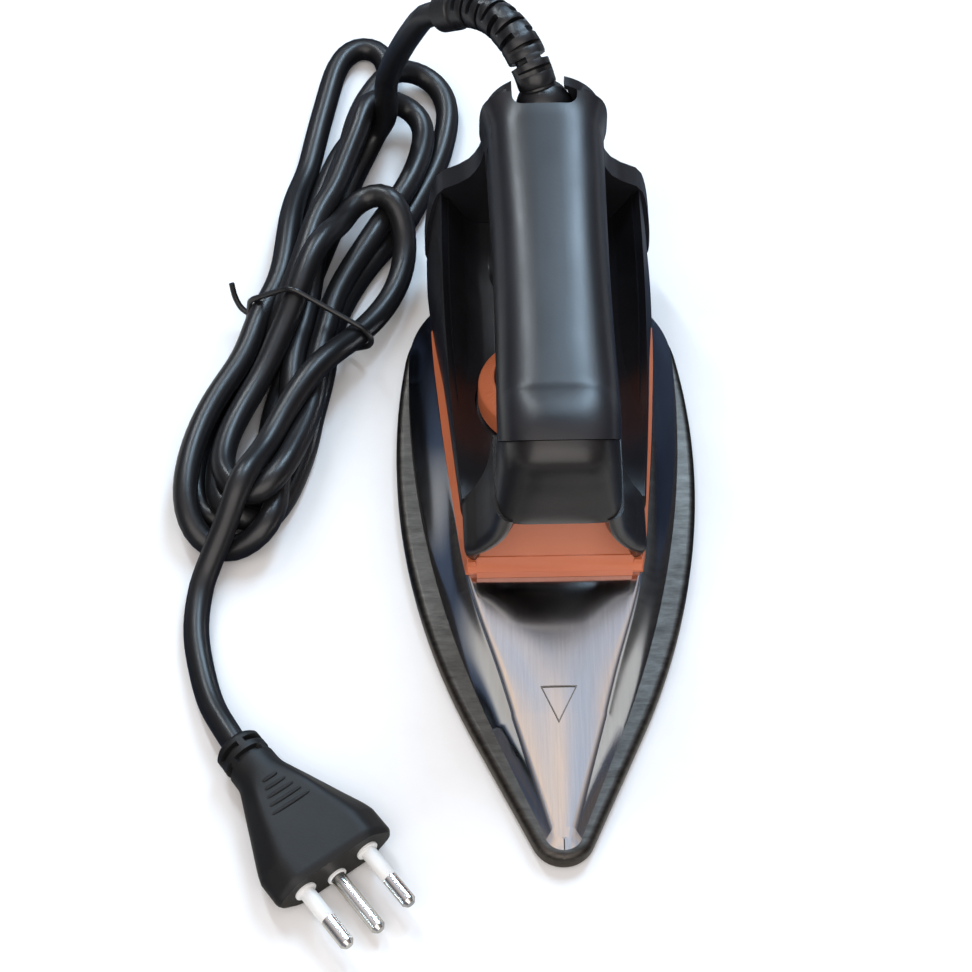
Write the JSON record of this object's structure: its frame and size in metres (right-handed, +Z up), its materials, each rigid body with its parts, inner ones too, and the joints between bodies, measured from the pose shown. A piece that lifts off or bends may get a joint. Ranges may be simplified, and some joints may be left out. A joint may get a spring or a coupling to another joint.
{
  "type": "clothes iron",
  "caption": "Compact dry clothes iron with a polished cover, black handle, orange trim and dial, and a tied mains lead with plug.",
  "frame": {"origin": "bottom centre of the iron without its lead, on the ironing face", "axes": "+Z up from the ironing face, +Y towards the heel, nose towards -Y, +X to the right of someone behind the nose looking at the heel"},
  "size_m": [0.1437, 0.3137, 0.0993],
  "materials": {
    "sole": "brushed cast face, satin",
    "element": "matte grey sheath",
    "plate": "plain pressed sheet",
    "cover": "polished, finely brushed",
    "fasteners": "zinc plated",
    "ceramic": "glazed ceramic look",
    "contacts": "satin brass",
    "orange": "satin moulded plastic",
    "shell": "satin black moulded plastic",
    "live": "sleeved core",
    "neutral": "sleeved core",
    "earth": "sleeved core",
    "rubber": "dull black moulding",
    "tie": "plastic coated wire",
    "pins": "bright nickel plate",
    "sleeves": "white moulded sleeve"
  },
  "bodies": {
    "iron": {"soleplate": "sole", "heating_element": "element", "element_terminals": "element", "sole_cover": "plate", "cover_shell": "cover", "body_bolts": "fasteners", "thermostat_base": "ceramic", "thermostat_blades": "contacts", "thermal_fuse": "ceramic", "trim_frame": "orange", "body_shell": "shell", "rear_column": "shell", "handle_lower": "shell", "handle_upper": "shell", "front_cap": "shell", "handle_screws": "fasteners", "heel_cover": "shell", "heel_screw": "fasteners", "terminal_block": "ceramic", "terminal_screws": "contacts", "live_wire": "live", "neutral_wire": "neutral", "earth_wire": "earth", "earth_tag": "fasteners", "ball_seat": "ceramic"},
    "dial_knob": {"dial": "orange", "dial_cap": "shell", "dial_spindle": "fasteners"},
    "lead": {"cord_ball": "rubber", "bend_guard": "rubber", "cord_lead": "rubber", "cord_hank": "rubber", "hank_tie": "tie", "cord_tail": "rubber", "plug_body": "rubber", "plug_pins": "pins", "plug_earth_pin": "pins", "plug_sleeves": "sleeves"}
  },
  "joints": [
    {"name": "dial_turn", "type": "hinge", "parent": "iron", "child": "dial_knob", "pos_m": [0, 0.028, 0.037], "axis": [0, 0.1564, 0.9877], "range_deg": [0, 270]},
    {"name": "cord_swivel", "type": "hinge", "parent": "iron", "child": "lead", "pos_m": [0, 0.088, 0.082], "axis": [0, 0, 1], "range_deg": [-30, 5]}
  ]
}
